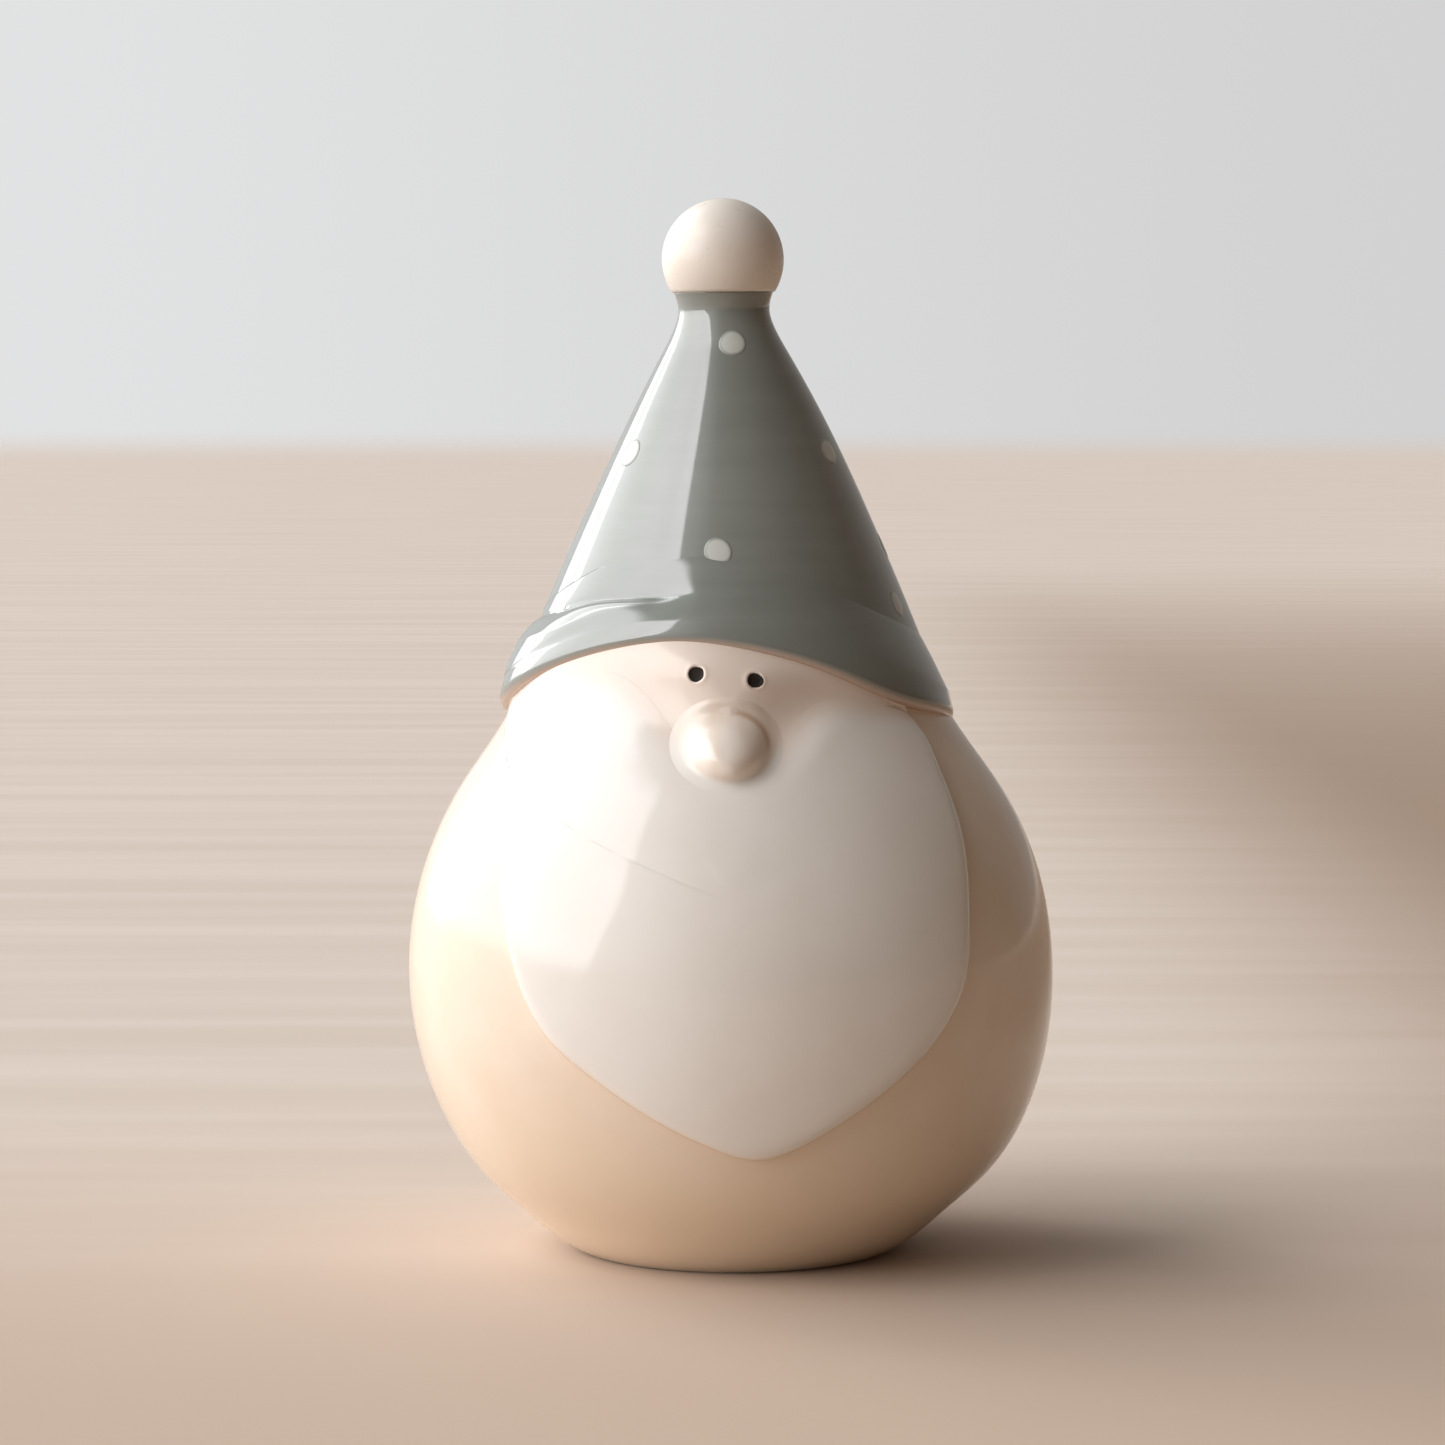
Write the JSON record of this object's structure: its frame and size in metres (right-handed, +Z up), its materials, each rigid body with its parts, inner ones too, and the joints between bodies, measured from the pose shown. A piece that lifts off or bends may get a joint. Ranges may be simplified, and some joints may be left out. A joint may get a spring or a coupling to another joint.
{
  "type": "gnome figurine",
  "caption": "Glazed earthenware gnome: round hollow body with raised beard, round nose, small dark eyes and a tall dotted cone hat with a rolled brim and a ball on its tip.",
  "frame": {"origin": "on the table, at the middle of the foot ring and of the base's vent hole", "axes": "+Z up along the figure's axis, -Y the way the face looks, +X to the viewer's right"},
  "size_m": [0.0926, 0.0945, 0.1506],
  "materials": {
    "peach_glaze": "warm peach gloss glaze over cream clay",
    "skin_glaze": "thin pale skin-coloured gloss glaze",
    "white_glaze": "warm white gloss glaze",
    "grey_glaze": "mid grey gloss glaze",
    "cream_glaze": "cream satin glaze",
    "dot_glaze": "pale grey slip under the gloss glaze",
    "black_glaze": "near-black gloss glaze"
  },
  "bodies": {
    "root": {"body_shell": "peach_glaze", "face_panel": "skin_glaze", "beard": "white_glaze", "nose": "skin_glaze", "eye_left": "black_glaze", "eye_right": "black_glaze", "hat_cone": "grey_glaze", "hat_brim": "grey_glaze", "pompom": "cream_glaze", "hat_dots": "dot_glaze"}
  },
  "joints": []
}
